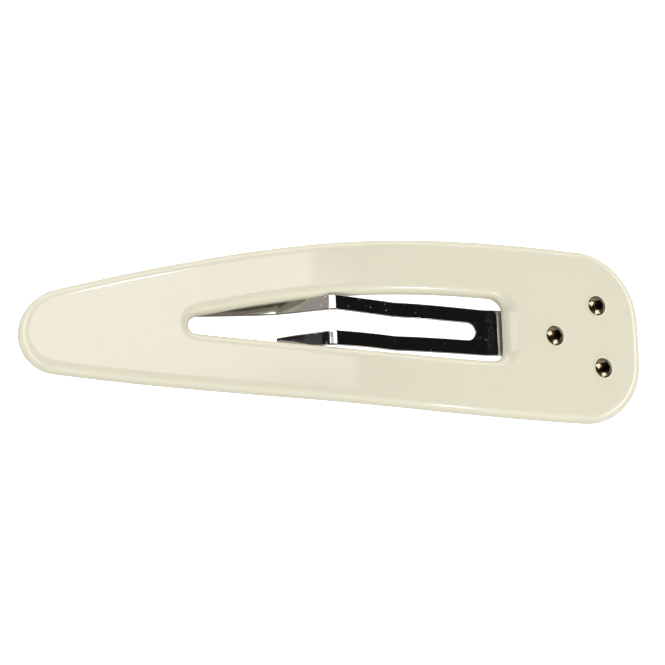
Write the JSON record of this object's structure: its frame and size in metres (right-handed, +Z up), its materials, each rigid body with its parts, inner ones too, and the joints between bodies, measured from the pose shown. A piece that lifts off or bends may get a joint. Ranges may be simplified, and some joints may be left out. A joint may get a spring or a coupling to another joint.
{
  "type": "snap hair clip",
  "caption": "Arched teardrop snap hair clip: glossy cream plate with a long window, spring-steel frame, slotted bright tongue that snaps shut under the wide end, and small brown stones.",
  "frame": {"origin": "bottom centre of the closed clip's box, on the surface that its two ends rest on", "axes": "+X from the narrow end to the wide end, +Z up through the plate's outer face, +Y across"},
  "size_m": [0.0736, 0.0208, 0.0101],
  "materials": {
    "plate": "high gloss cream",
    "frame_steel": "plain spring steel",
    "tongue_steel": "mirror bright",
    "rivet_steel": "plain",
    "stone": "smoky brown, faceted"
  },
  "bodies": {
    "clip": {"plate": "plate", "spring_frame": "frame_steel", "rivet": "rivet_steel", "stone_1": "stone", "stone_2": "stone", "stone_3": "stone"},
    "blade": {"tongue": "tongue_steel"}
  },
  "joints": [
    {"name": "tongue_snap", "type": "hinge", "parent": "clip", "child": "blade", "pos_m": [-0.02405, 0, 0.00316], "axis": [0, 1, 0], "range_deg": [0, 15], "stiffness_Nm_per_rad": 0.05, "springref_deg": -14.32}
  ]
}
